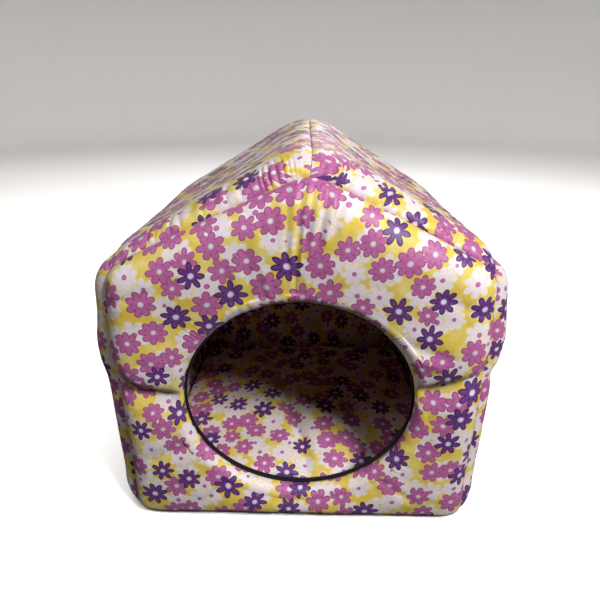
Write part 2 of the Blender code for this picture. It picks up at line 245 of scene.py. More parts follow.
@dataclass
class SeamLine:
    """The closed line, seen from the front, in which all the panels meet."""

    fold: WaistFold
    base_half_width: float = 0.201
    eave_half_width: float = 0.199
    floor_height: float = 0.004
    eave_height: float = 0.323
    apex_height: float = 0.420
    wall_bow: float = 0.003
    roof_bow: float = 0.002
    corner_softness: float = 0.013
    step: float = 0.002
    points: Array = field(init=False)
    normals: Array = field(init=False)
    corners: list[int] = field(init=False, default_factory=list)

    def __post_init__(self) -> None:
        """Draws the line: five bowed sides with soft corners, pinched at the waist."""
        base, eave = self.base_half_width, self.eave_half_width
        ends = np.array(
            [
                (-base, self.floor_height),
                (base, self.floor_height),
                (eave, self.eave_height),
                (0, self.apex_height),
                (-eave, self.eave_height),
            ]
        )
        sides = []
        for k, bow in enumerate((0, self.wall_bow, self.roof_bow, self.roof_bow, self.wall_bow)):
            start, end = ends[k], ends[(k + 1) % len(ends)]
            length = np.linalg.norm(end - start)
            outward = np.array([end[1] - start[1], start[0] - end[0]]) / length
            count = round(length / self.step)
            share = np.arange(count) / count
            self.corners.append(sum(len(side) for side in sides))
            arch = bow * 4 * share * (1 - share)
            sides.append(start + np.outer(share, end - start) + np.outer(arch, outward))
        line = np.concatenate(sides)
        for _ in range(round(2 * (self.corner_softness / self.step) ** 2)):
            line = (np.roll(line, 1, 0) + 2 * line + np.roll(line, -1, 0)) / 4
        line[:, 1] += self.floor_height - line[:, 1].min()
        line -= self.across(line) * self.fold.draw_in(*line.T, self.fold.seam)[:, None]
        self.points, self.normals = line, self.across(line)

    @staticmethod
    def across(line: Array) -> Array:
        """Normals that point out of a closed line that runs anticlockwise.

        Args:
            line: The line's points.

        Returns:
            A unit normal for every point.
        """
        along = np.roll(line, -1, 0) - np.roll(line, 1, 0)
        normal = np.stack([along[:, 1], -along[:, 0]], 1)
        return normal / np.linalg.norm(normal, axis=1)[:, None]

    def side(self, panel: int, shares: Array) -> tuple[Array, Array, float]:
        """One side of the line.

        Args:
            panel: Which side it is, by its panel.
            shares: Shares of the way along it.

        Returns:
            The points and normals at those shares, and the side's length.
        """
        start = self.corners[panel]
        end = self.corners[panel + 1] if panel + 1 < len(self.corners) else len(self.points)
        picked = np.arange(start, end + 1) % len(self.points)
        points = self.points[picked]
        run = np.concatenate([[0], np.cumsum(np.linalg.norm(np.diff(points, axis=0), axis=1))])
        wanted = np.asarray(shares) * run[-1]
        place = np.stack([np.interp(wanted, run, points[:, k]) for k in (0, 1)], -1)
        normal = np.stack([np.interp(wanted, run, self.normals[picked][:, k]) for k in (0, 1)], -1)
        return place, normal / np.linalg.norm(normal, axis=-1, keepdims=True), run[-1]

    def round_trip(self, count: int) -> tuple[Array, Array]:
        """Goes once round the line and closes it.

        Args:
            count: How many steps each side has.

        Returns:
            The points and the normals.
        """
        places, normals = [], []
        for panel in range(len(self.corners)):
            place, normal, _ = self.side(panel, spread(count)[:-1])
            places.append(place)
            normals.append(normal)
        place, normal = np.concatenate(places), np.concatenate(normals)
        return np.concatenate([place, place[:1]]), np.concatenate([normal, normal[:1]])


class ClothMesh:
    """Gathers grids of points into one closed mesh that knows its flat cloth coordinates."""

    def __init__(self, shift: tuple[float, float] | Array = (0, 0)) -> None:
        """Starts empty.

        Args:
            shift: Where on the printed cloth the piece is cut from, in metres.
        """
        self.shift = np.array(shift)
        self.points: list[Array] = []
        self.flat: list[Array] = []
        self.faces: list[Array] = []
        self.count = 0

    def add(self, points: Array, flat: Array) -> None:
        """Adds one grid.

        Args:
            points: Its points, rows by columns by three.
            flat: Where they lie on the flat cloth, rows by columns by two, in metres.
        """
        rows, columns = points.shape[:2]
        index = np.arange(rows * columns).reshape(rows, columns) + self.count
        quads = np.stack([index[:-1, :-1], index[1:, :-1], index[1:, 1:], index[:-1, 1:]], -1)
        self.points.append(points.reshape(-1, 3))
        self.flat.append(flat.reshape(-1, 2))
        self.faces.append(quads.reshape(-1, 4))
        self.count += rows * columns

    def add_skins(self, outside: Array, inside: Array, flat: Array) -> None:
        """Adds an outer and an inner grid of one size, and the strips that join their edges.

        Args:
            outside: The outer points.
            inside: The inner points.
            flat: Where both lie on the flat cloth.
        """
        self.add(outside, flat)
        self.add(inside, flat + INSIDE_SHIFT)
        for edge in (np.s_[:1], np.s_[-1:]):
            self.add(np.concatenate([outside[edge], inside[edge]]), np.concatenate([flat[edge]] * 2))
            both = np.concatenate([outside[:, edge], inside[:, edge]], 1)
            self.add(both, np.concatenate([flat[:, edge]] * 2, 1))

    def add_pad(self, outer: Array, inner: Array, flat: Array, inner_flat: Array) -> None:
        """Adds a pad's two grids and the strip between them, from the last row to the first.

        Args:
            outer: The outer grid's points.
            inner: The inner grid's points.
            flat: Where the outer ones lie on the flat cloth.
            inner_flat: Where the inner ones lie.
        """
        self.add(outer, flat)
        self.add(inner, inner_flat)
        self.add(np.stack([outer[-1], inner[0]]), np.stack([flat[-1], flat[-1]]))

    def finish(self, name: str) -> bpy.types.Object:
        """Joins the grids where they touch, with all faces pointing out.

        Args:
            name: The new object's name.

        Returns:
            The object.
        """
        data = bpy.data.meshes.new(name)
        points, faces = np.concatenate(self.points), np.concatenate(self.faces)
        data.from_pydata(points.tolist(), [], faces.tolist())
        layer = data.uv_layers.new(name=CLOTH_MAP)
        corners = np.empty(len(data.loops), dtype=np.int32)
        data.loops.foreach_get("vertex_index", corners)
        layer.data.foreach_set("uv", (np.concatenate(self.flat) + self.shift)[corners].ravel())
        mesh = bmesh.new()
        mesh.from_mesh(data)
        bmesh.ops.remove_doubles(mesh, verts=mesh.verts, dist=JOIN_DISTANCE)
        bmesh.ops.recalc_face_normals(mesh, faces=mesh.faces)
        if mesh.calc_volume(signed=True) < 0:
            bmesh.ops.reverse_faces(mesh, faces=mesh.faces)
        mesh.to_mesh(data)
        mesh.free()
        data.shade_smooth()
        made = bpy.data.objects.new(name, data)
        bpy.context.scene.collection.objects.link(made)
        return made


def math_method(operation: str) -> Callable[..., "Socket"]:
    """The method of a socket that adds one Math node.

    Args:
        operation: What the node does.

    Returns:
        The method.
    """

    def apply(socket: "Socket", *values: "Value") -> "Socket":
        """One Math node on this value and others."""
        return socket.maths(operation, *values)

    return apply


class Socket:
    """A value in a material: Python's operators on it add its Math nodes."""

    def __init__(self, recipe: "Recipe", output: bpy.types.NodeSocket) -> None:
        """Wraps an output of a node in a recipe."""
        self.recipe = recipe
        self.output = output

    def maths(self, operation: str, *values: "Value") -> "Socket":
        """One Math node on this value and others."""
        inputs = dict(enumerate((self, *values)))
        return self.recipe.node("ShaderNodeMath", {"operation": operation}, inputs)

    __add__ = __radd__ = math_method("ADD")
    __mul__ = __rmul__ = math_method("MULTIPLY")
    __sub__ = math_method("SUBTRACT")
    __truediv__ = math_method("DIVIDE")
    __abs__ = math_method("ABSOLUTE")
    least = math_method("MINIMUM")
    most = math_method("MAXIMUM")
    floor = math_method("FLOOR")
    sine = math_method("SINE")
    cosine = math_method("COSINE")
    root = math_method("SQRT")

    def __rsub__(self, other: float) -> "Socket":
        """The other less this."""
        return self * -1 + other

    def __rtruediv__(self, other: float) -> "Socket":
        """The other over this."""
        return self.maths("POWER", -1) * other

    def within(self, edge: "Value", soft: float) -> "Socket":
        """1 where this is under the edge, 0 over it, with a soft step between."""
        return ((self * -1 + edge) * (1 / soft) + 0.5).most(0).least(1)


Value = Socket | float


class Recipe:
    """One material's node tree, and the one method that adds a node to it."""

    def __init__(self, name: str) -> None:
        """Makes the material with its shader and output.

        Args:
            name: The material's name.
        """
        self.material = bpy.data.materials.new(name)
        self.material.use_nodes = True
        self.tree = self.material.node_tree
        self.shader = self.tree.nodes["Principled BSDF"]

    def node(
        self, kind: str, settings: dict | None = None, inputs: dict | None = None, out: int | str = 0
    ) -> Socket:
        """Adds a node.

        Args:
            kind: Its type.
            settings: Properties that are set first.
            inputs: Values or links of its sockets, by name or number.
            out: Which output is wanted.

        Returns:
            That output.
        """
        made = self.tree.nodes.new(kind)
        for key, value in (settings or {}).items():
            setattr(made, key, value)
        for key, value in (inputs or {}).items():
            self.feed(made.inputs[key], value)
        return Socket(self, made.outputs[out])

    def feed(self, target: bpy.types.NodeSocket, value: object) -> None:
        """Links a socket to a value, or sets it to a number, vector or colour.

        Args:
            target: A node's input.
            value: What it gets.
        """
        if isinstance(value, Socket):
            self.tree.links.new(value.output, target)
        elif isinstance(value, tuple) and target.type == "RGBA":
            target.default_value = (*value, 1)
        else:
            target.default_value = value

    def other(self, socket: Socket, name: str) -> Socket:
        """Another output of the same node."""
        return Socket(self, socket.output.node.outputs[name])

    def split(self, vector: Socket, kind: str = "ShaderNodeSeparateXYZ") -> list[Socket]:
        """A vector's or a colour's three parts."""
        first = self.node(kind, None, {0: vector})
        return [Socket(self, part) for part in first.output.node.outputs[:3]]

    def blend(self, share: Value, first: object, second: object) -> Socket:
        """A colour between two colours."""
        settings = {"data_type": "RGBA", "clamp_factor": True}
        return self.node("ShaderNodeMix", settings, {0: share, 6: first, 7: second}, 2)

    def cloth(self) -> Socket:
        """The place on the flat cloth, in metres."""
        return self.node("ShaderNodeUVMap", {"uv_map": CLOTH_MAP})

    def noise(self, place: Socket, scale: float, detail: float = 2) -> Socket:
        """Noise between about 0 and 1, at so many ups and downs a metre."""
        inputs = {"Vector": place, "Scale": scale, "Detail": detail}
        return self.node("ShaderNodeTexNoise", {"noise_dimensions": "2D"}, inputs)

    def bump(self, height: Socket, strength: float) -> None:
        """Feeds a height in metres to the shader's normal."""
        inputs = {"Height": height, "Distance": 1.0, "Strength": strength}
        self.feed(self.shader.inputs["Normal"], self.node("ShaderNodeBump", None, inputs))

    def set(self, **values: object) -> None:
        """Sets the shader's own sockets: an underscore stands for a space."""
        for key, value in values.items():
            self.feed(self.shader.inputs[key.replace("_", " ")], value)


@dataclass(frozen=True)
class Bloom:
    """One kind of flower in the print. Lengths are shares of its radius."""

    heart: float
    middle: float
    half_length: float
    half_width: float
    outline: float
    soft: float
    eye: float
    petal: Colour
    throat: Colour
    line: Colour
    centre: Colour
    ring: Colour


PINK = Bloom(
    heart=0.50,
    middle=0.66,
    half_length=0.34,
    half_width=0.250,
    outline=0.060,
    soft=0.03,
    eye=0.19,
    petal=srgb(195, 105, 164),
    throat=srgb(158, 62, 132),
    line=srgb(158, 62, 132),
    centre=srgb(232, 222, 232),
    ring=srgb(196, 176, 198),
)
PURPLE = Bloom(
    heart=0.47,
    middle=0.68,
    half_length=0.38,
    half_width=0.215,
    outline=0.075,
    soft=0.03,
    eye=0.22,
    petal=srgb(110, 44, 142),
    throat=srgb(52, 14, 72),
    line=srgb(52, 14, 72),
    centre=srgb(232, 226, 238),
    ring=srgb(190, 176, 208),
)
WHITE = Bloom(
    heart=0.55,
    middle=0.66,
    half_length=0.36,
    half_width=0.290,
    outline=0.060,
    soft=0.06,
    eye=0.17,
    petal=srgb(242, 231, 234),
    throat=srgb(232, 222, 228),
    line=srgb(238, 220, 126),
    centre=srgb(194, 108, 168),
    ring=srgb(172, 88, 148),
)


@dataclass(frozen=True)
class Scatter:
    """Flowers strewn over the cloth, each in a space of its own.

    The second kind takes a share of the places of the first.
    """

    spacing: float
    radius: float
    turn: float
    cells: tuple[float, float]
    loose: float
    first: Bloom
    second: Bloom
    second_share: float
    smaller: float = 0.14
    shorter: float = 0.09
    slimmest: float = 0.93
    wider: float = 0.10
    petals: int = 7
    extra_petals: int = 2
    webbing: float = 0.06
    line_inset: float = 0.02
    ring_place: float = 0.80
    ring_width: float = 0.022
    throat_share: float = 0.75
    throat_fade: float = 0.3
    soft: float = 0.03

    def draw(self, recipe: Recipe, cloth: Socket, ground: Socket) -> Socket:
        """The ground with these flowers on it.

        Args:
            recipe: The material.
            cloth: The place on the flat cloth, in metres.
            ground: The colour below the flowers.

        Returns:
            The colour of the ground with these flowers on it.
        """
        scale = 1 / self.spacing
        inputs = {
            "Vector": cloth,
            "Location": (*self.cells, 0),
            "Rotation": (0, 0, self.turn),
            "Scale": (scale, scale, scale),
        }
        place = recipe.node("ShaderNodeMapping", None, inputs)
        cell = {"Vector": place, "Scale": 1, "Randomness": self.loose}
        nearest = recipe.node("ShaderNodeTexVoronoi", {"voronoi_dimensions": "2D"}, cell, "Color")
        feature = {"voronoi_dimensions": "2D", "feature": "N_SPHERE_RADIUS"}
        room = recipe.node("ShaderNodeTexVoronoi", feature, cell, "Radius")
        centre = recipe.other(nearest, "Position")
        local = recipe.node("ShaderNodeVectorMath", {"operation": "SUBTRACT"}, {0: place, 1: centre})
        x, y, _ = recipe.split(local)
        chance, spin, size = recipe.split(nearest, "ShaderNodeSeparateColor")
        second = chance.within(self.second_share, 0.001)

        def pick(name: str) -> Value:
            """A size of the kind that grows here."""
            low, high = getattr(self.first, name), getattr(self.second, name)
            return low if low == high else second * (high - low) + low

        def colour(name: str) -> Socket:
            """A colour of the kind that grows here."""
            return recipe.blend(second, getattr(self.first, name), getattr(self.second, name))

        radius = room.least(self.radius * scale) * (size * -self.smaller + 1)
        away = (x * x + y * y).root() / radius
        petals = (size * self.petals).floor().maths("MODULO", self.extra_petals) + self.petals
        sector = (y.maths("ARCTAN2", x) + spin * TURN) * petals * (1 / TURN)
        number = sector.floor()
        angle = (sector - number - 0.5) * (TURN / petals)
        kind = recipe.node("ShaderNodeCombineXYZ", None, {0: number, 1: chance * 50, 2: spin * 50})
        odd = recipe.node("ShaderNodeTexWhiteNoise", {"noise_dimensions": "3D"}, {"Vector": kind})
        length = odd * -self.shorter + 1
        along = (away * angle.cosine() - pick("middle") * length) / (pick("half_length") * length)
        across = away * angle.sine() / (pick("half_width") * (odd * self.wider + self.slimmest))
        lobe = ((along * along + across * across).root() - 1) * pick("half_width")
        edge = lobe.maths("SMOOTH_MIN", away - pick("heart"), self.webbing)
        petal = edge.within(0, min(self.first.soft, self.second.soft))
        eye = away.within(pick("eye"), self.soft)
        ring = abs(away - pick("eye") * self.ring_place).within(self.ring_width, self.soft)
        shade = (away * self.throat_fade + self.throat_share).least(1)
        tinted = recipe.blend(shade, colour("throat"), colour("petal"))
        print_colour = recipe.blend(petal, ground, tinted)
        line = abs(edge + self.line_inset).within(pick("outline") * 0.5, self.soft)
        print_colour = recipe.blend(line, print_colour, colour("line"))
        print_colour = recipe.blend(eye, print_colour, colour("centre"))
        return recipe.blend(ring, print_colour, colour("ring"))


@dataclass(frozen=True)
class PrintedCotton:
    """A smooth cotton print: flowers of three colours on yellow, over a fine plain weave, its colour
    scaled down as painted shade for the pieces that lie low or inside.
    """

    name: str
    # Below 1 this darkens the whole print as painted shade, for the base and cushion copies.
    painted_shade_scale: float = 1.0
    yellow: Colour = srgb(234, 205, 76)
    pale_yellow: Colour = srgb(238, 220, 132)
    patches: float = 45
    patch_contrast: float = 4
    patch_start: float = 1.7
    roughness: float = 0.42
    rougher: float = 0.16
    sheen: float = 0.10
    thread: float = 0.00045
    thread_height: float = 0.00001
    crumples: float = 70
    crumple_height: float = 0.0011
    grains: float = 260
    grain_height: float = 0.00022
    relief: float = 0.55
    wear_patches: float = 9
    wear_share: float = 0.05
    worn: Colour = (0.9, 0.88, 0.86)
    layers: tuple[Scatter, ...] = (
        Scatter(0.050, 0.0170, 0.95, (7.7, 2.3), 0.50, WHITE, WHITE, 0.0),
        Scatter(0.042, 0.0186, -0.62, (3.1, 5.3), 0.45, WHITE, WHITE, 0.0),
        Scatter(0.041, 0.0168, 0.38, (37.5, 11.5), 0.42, PINK, WHITE, 0.50),
        Scatter(0.041, 0.0162, 0.38, (5.0, 9.0), 0.42, PINK, PURPLE, 0.46),
    )
    drift: float = 0.010
    drift_scale: float = 10

    def make(self) -> bpy.types.Material:
        """Makes the material.

        Returns:
            The material.
        """
        recipe = Recipe(self.name)
        cloth = recipe.cloth()
        patches = recipe.noise(cloth, self.patches)
        share = (patches * self.patch_contrast - self.patch_start).most(0).least(1)
        colour = recipe.blend(share, self.yellow, self.pale_yellow)
        drift = recipe.other(recipe.noise(cloth, self.drift_scale, 0), "Color")
        amount = (self.drift,) * 3
        settings = {"operation": "MULTIPLY_ADD"}
        strewn = recipe.node("ShaderNodeVectorMath", settings, {0: drift, 1: amount, 2: cloth})
        for layer in self.layers:
            colour = layer.draw(recipe, strewn, colour)
        wear = recipe.noise(cloth, self.wear_patches, 4)
        worn = recipe.blend(wear * self.wear_share, colour, self.worn)
        settings = {"operation": "SCALE"}
        # Painted shade: the whole print's colour is scaled down here for the darker copies.
        dim = recipe.node("ShaderNodeVectorMath", settings, {0: worn, "Scale": self.painted_shade_scale})
        u, v, _ = recipe.split(cloth)
        turns = TURN / self.thread
        weave = (u * turns).sine() * (v * turns).sine() * self.thread_height
        crumple = recipe.noise(cloth, self.crumples, 3) * self.crumple_height
        grain = recipe.noise(cloth, self.grains, 2) * self.grain_height
        recipe.bump(crumple + grain + weave, self.relief)
        recipe.set(Base_Color=dim, Roughness=wear * self.rougher + self.roughness)
        recipe.set(Sheen_Weight=self.sheen, Sheen_Roughness=0.4, Specular_IOR_Level=0.45)
        return recipe.material


@dataclass(frozen=True)
class BlackTape:
    """Narrow woven binding: black, ribbed across, a little shiny."""

    name: str = "black_tape"
    rib: float = 0.0011
    rib_height: float = 0.00012
    thread_height: float = 0.00003
    fuzz: float = 900
    fuzz_height: float = 0.0001
    relief: float = 0.6
    dark: Colour = (0.004, 0.0035, 0.005)
    light: Colour = (0.010, 0.009, 0.012)
    roughness: float = 0.58
    rougher: float = 0.15

    def make(self) -> bpy.types.Material:
        """Makes the material.

        Returns:
            The material.
        """
        recipe = Recipe(self.name)
        cloth = recipe.cloth()
        u, v, _ = recipe.split(cloth)
        ribs = (u * (TURN / self.rib)).sine() * self.rib_height
        threads = (v * (TURN / (self.rib / 2))).sine() * self.thread_height
        fuzz = recipe.noise(cloth, self.fuzz, 2)
        recipe.bump(ribs + threads + fuzz * self.fuzz_height, self.relief)
        recipe.set(Base_Color=recipe.blend(fuzz, self.dark, self.light))
        recipe.set(Roughness=fuzz * self.rougher + self.roughness, Specular_IOR_Level=0.25)
        recipe.set(Sheen_Weight=0.04, Sheen_Roughness=0.5)
        return recipe.material


@dataclass(frozen=True)
class PaleFloor:
    """A plain pale floor."""

    name: str = "pale_floor"
    colour: Colour = srgb(226, 224, 221)

    def make(self) -> bpy.types.Material:
        """Makes the material.

        Returns:
            The material.
        """
        recipe = Recipe(self.name)
        recipe.set(Base_Color=self.colour, Roughness=0.75)
        return recipe.material


class PanelKind(Enum):
    """What a panel around the cabin is."""

    BASE = "base"
    WALL = "wall"
    ROOF = "roof"


@dataclass(frozen=True)
class Panel:
    """One panel around the cabin: how far its seams and its pad stand proud of the seam line."""

    node: str
    kind: PanelKind
    first_seam: float
    first_pad: float
    last_pad: float
    last_seam: float
    crown: float
    rows: int
    slot: str = "print_fabric"


@dataclass(frozen=True)
class Gathers:
    """Pleats that stand across a seam, deepest beside it, in a stretch of the seam."""

    pitch: float
    height: float
    reach: float
    middle: float
    spread: float
    seed: int
    sharp: float = 1.0
    wander: float = 0.9
    wander_size: float = 0.021
    slant: float = 0.4
    level: float = 0.64
    lowest: float = 0.55
    stretch: float = 0.013
    fade: float = 1.6

    def lift(self, along: Array, away: Array) -> Array:
        """How far the cloth stands up.

        Args:
            along: Place along the seam, in metres.
            away: Distance from the seam, in metres.

        Returns:
            The height at every place.
        """
        wander = unevenness(along, away * self.slant, self.wander_size, self.seed) * self.wander
        ridge = np.abs(np.cos(math.pi * (along / self.pitch + wander))) ** self.sharp - self.level
        change = unevenness(along, away * self.slant / 2, self.stretch, self.seed + 1)
        uneven = self.lowest + (1 - self.lowest) * change
        where = bell(along - self.middle, self.spread)
        near = np.exp(-((np.maximum(away, 0) / self.reach) ** self.fade))
        return self.height * ridge * uneven * where * near


@dataclass
class Surround:
    """The five padded panels around the cabin: base, side walls and roof."""

    seams: SeamLine
    fold: WaistFold
    padding: Padding
    depth_rows: int = 130
    pull: float = 0.6
    pucker: float = 0.00055
    pleat_start: float = 0.005
    pleat_shift: float = 0.004
    side_rounding: float = 0.012
    inner_arch: float = 0.003
    floor_share: float = 0.15
    coarse: tuple[float, float] = (0.0009, 0.055)
    fine: tuple[float, float] = (0.00035, 0.017)
    cut_from: tuple[float, float] = (0.2, 0.1)
    cut_step: tuple[float, float] = (0.53, 0.31)
    panels: tuple[Panel, ...] = (
        Panel("base_panel", PanelKind.BASE, 0.003, 0.004, 0.004, 0.003, 0.000, 60, "base_fabric"),
        Panel("side_right", PanelKind.WALL, 0.003, 0.018, 0.023, 0.006, 0.003, 150),
        Panel("roof_right", PanelKind.ROOF, 0.006, 0.016, 0.025, 0.019, -0.009, 230),
        Panel("roof_left", PanelKind.ROOF, 0.019, 0.025, 0.013, 0.006, -0.007, 230),
        Panel("side_left", PanelKind.WALL, 0.006, 0.022, 0.023, 0.003, 0.003, 150),
    )
    left_gathers: tuple[Gathers, ...] = (
        Gathers(0.0054, 0.0050, 0.016, 0.036, 0.019, 11, 0.6),
        Gathers(0.0095, 0.0042, 0.026, 0.084, 0.026, 12, 0.8),
        Gathers(0.0120, 0.0026, 0.028, 0.150, 0.050, 13),
    )
    right_gathers: tuple[Gathers, ...] = (
        Gathers(0.0066, 0.0046, 0.022, 0.030, 0.024, 15, 0.7),
        Gathers(0.0100, 0.0040, 0.032, 0.070, 0.030, 16),
        Gathers(0.0130, 0.0026, 0.028, 0.150, 0.060, 17),
    )

    def surface(self, number: int, rows: Array, depths: Array) -> tuple[Array, Array, Array]:
        """A panel's outer and inner skins.

        Args:
            number: Which panel.
            rows: Shares of the way round the cabin.
            depths: Shares of the way from the front to the back.

        Returns:
            The outer points, the inner points and the outer points' flat places on the cloth.
        """
        panel = self.panels[number]
        pad = self.padding
        place, normal, width = self.seams.side(number, rows)
        run = pad.seam(place[:, 1])
        way = (2 * depths - 1)[None, :]
        y = way * run[:, None]
        seam = panel.first_seam + (panel.last_seam - panel.first_seam) * rows
        top = panel.first_pad + (panel.last_pad - panel.first_pad) * rows
        height = seam + (top - seam) * rounded(np.minimum(rows, 1 - rows) * width / pad.edge)
        from_middle = place[:, :1] / self.seams.eave_half_width
        at_back = pad.edge + (pad.back_edge - pad.edge) * from_middle**2
        at_front = pad.roof_edge if panel.kind is PanelKind.ROOF else pad.edge
        from_edge = rounded((run[:, None] - np.abs(y)) / np.where(y > 0, at_back, at_front))
        arch = np.sin(math.pi * rows)[:, None] * np.sin(math.pi * depths)[None, :]
        out = height[:, None] * from_edge + panel.crown * arch
        if panel.kind is PanelKind.WALL:
            sizes = self.fold.right_wall if panel.node == "side_right" else self.fold.left_wall
            height_here = place[:, 1] + self.fold.wall_sag
            out = out - self.fold.draw_in(place[:, 0], height_here, sizes)[:, None] * from_edge
        outside = self.placed(place, normal, out, y)
        inner_y = way * (run - pad.front_inset)[:, None]
        inside = self.placed(place, normal, -pad.inset - self.inner_arch * arch, inner_y)
        outside = self.fuller(number, outside, normal, rows, width, from_edge, y + run[:, None])
        middle = [len(rows) // 2, len(depths) // 2]
        flat = np.stack([run_along(outside, 1, middle[1]), run_along(outside, 0, middle[0])], -1)
        return pad.settled(outside), pad.settled(inside), flat

    def placed(self, place: Array, normal: Array, out: Array, y: Array) -> Array:
        """Points at some distance out of the seam line, with the gaps that part the panels.

        Args:
            place: Points on the seam line.
            normal: Its normals there.
            out: How far out of the line each point lies.
            y: How far back each point lies.

        Returns:
            The points.
        """
        gap = self.padding.gap
        tangent = np.stack([-normal[:, 1], normal[:, 0]], -1)
        side = np.zeros(len(place))
        side[0], side[-1] = gap, -gap
        ends = np.zeros(y.shape[1])
        ends[0], ends[-1] = gap, -gap
        flat = place[:, None, :] + normal[:, None, :] * out[..., None]
        flat = flat + (tangent * side[:, None])[:, None, :]
        return np.stack([flat[..., 0], y + ends, np.maximum(flat[..., 1], 0)], -1)

    def fuller(
        self,
        number: int,
        points: Array,
        normal: Array,
        rows: Array,
        width: float,
        from_edge: Array,
        away: Array,
    ) -> Array:
        """The outer skin with its gathers, puckers and unevenness.

        Args:
            number: Which panel.
            points: The skin's points.
            normal: The seam line's normals, one a row.
            rows: Shares of the way round the cabin.
            width: The panel's width along the seam line.
            from_edge: How far the pad has risen from its front and back seams.
            away: Distance from the front seam.

        Returns:
            The moved points.
        """
        panel = self.panels[number]
        along = rows[:, None] * width * np.ones_like(from_edge)
        beside = np.minimum(rows, 1 - rows)[:, None] * width
        inner = from_edge * rounded(beside / self.side_rounding)
        pleated = np.zeros_like(inner)
        kinds = (*self.coarse, 20 + number), (*self.fine, 30 + number)
        lift = waves(along, points[..., 1], *kinds)
        far = 2 * self.padding.seam_depth - away
        for edge, seed in ((away, 40), (far, 50)):
            puckers = Gathers(0.0085, self.pucker, 0.016, width / 2, width, seed + number)
            lift = lift + puckers.lift(along, edge)
        lift = lift + Gathers(0.0090, self.pucker, 0.014, 0, 1, 60 + number).lift(away, beside)
        if panel.kind is PanelKind.ROOF:
            right = panel.node == "roof_right"
            from_ridge = width - along if right else along
            for gathers in self.right_gathers if right else self.left_gathers:
                pleated = pleated + gathers.lift(from_ridge, away - self.pleat_shift)
            pleated = pleated * rounded(away / self.pleat_start) * rounded(beside / self.pleat_start)
        if panel.kind is PanelKind.BASE:
            lift = lift * self.floor_share
        outward = np.stack([normal[:, 0], np.zeros(len(normal)), normal[:, 1]], -1)[:, None, :]
        moved = pushed_out(points, lift * inner + pleated, outward * np.ones_like(points))
        moved[..., 2] = np.maximum(moved[..., 2], 0)
        return moved

    def build(self, cotton: dict[str, bpy.types.Material]) -> list[bpy.types.Object]:
        """Builds and dresses every panel.

        Args:
            cotton: The printed cotton of every slot.

        Returns:
            The panels' cloths.
        """
        made = []
        depths = spread(self.depth_rows, self.pull)
        for number, panel in enumerate(self.panels):
            outside, inside, flat = self.surface(number, spread(panel.rows, self.pull), depths)
            mesh = ClothMesh(np.array(self.cut_step) * number + self.cut_from)
            mesh.add_skins(outside, inside, flat)
            made.append(dressed(mesh, panel.node, cotton[panel.slot], PAD_FILL))
        return made


@dataclass(frozen=True)
class Entrance:
    """The round opening with its rolled rim."""

    height: float = 0.168
    half_width: float = 0.130
    half_height: float = 0.1235
    rim: float = 0.013

    def edge(self, stations: Array) -> tuple[Array, Array, Array]:
        """The opening's edge, seen from the stations on the seam line.

        Args:
            stations: Points on the seam line.

        Returns:
            For every station the edge, the way out from it and how far.
        """
        middle = np.array([0, self.height])
        away = stations - middle
        round_edge = np.array([self.half_width, self.half_height])
        edge = middle + away / np.linalg.norm(away / round_edge, axis=1)[:, None]
        way = stations - edge
        reach = np.linalg.norm(way, axis=1)
        return edge, way / reach[:, None], reach


@dataclass
class FacePanel:
    """What the front and back pads share: the seam line, the foam and an inner skin."""

    seams: SeamLine
    fold: WaistFold
    padding: Padding

    def inner_skin(
        self, stations: Array, normals: Array, centre: Array, shares: Array | tuple, depth: float
    ) -> Array:
        """The rings of points on the inner skin, from the seam inwards.

        Args:
            stations: Points on the seam line.
            normals: Its normals there.
            centre: Where the skin ends, one point or one for every station.
            shares: Shares of the way there.
            depth: How far back from the middle the skin lies, negative in front.

        Returns:
            The rings.
        """
        pad = self.padding
        seam_in = stations - normals * pad.inset
        seam_depth = pad.seam(stations[:, 1]) - pad.front_inset + pad.gap
        rings = [upright(seam_in, math.copysign(1, depth) * seam_depth)]
        rings += [upright(seam_in + (centre - seam_in) * share, depth) for share in shares]
        return np.stack(rings)


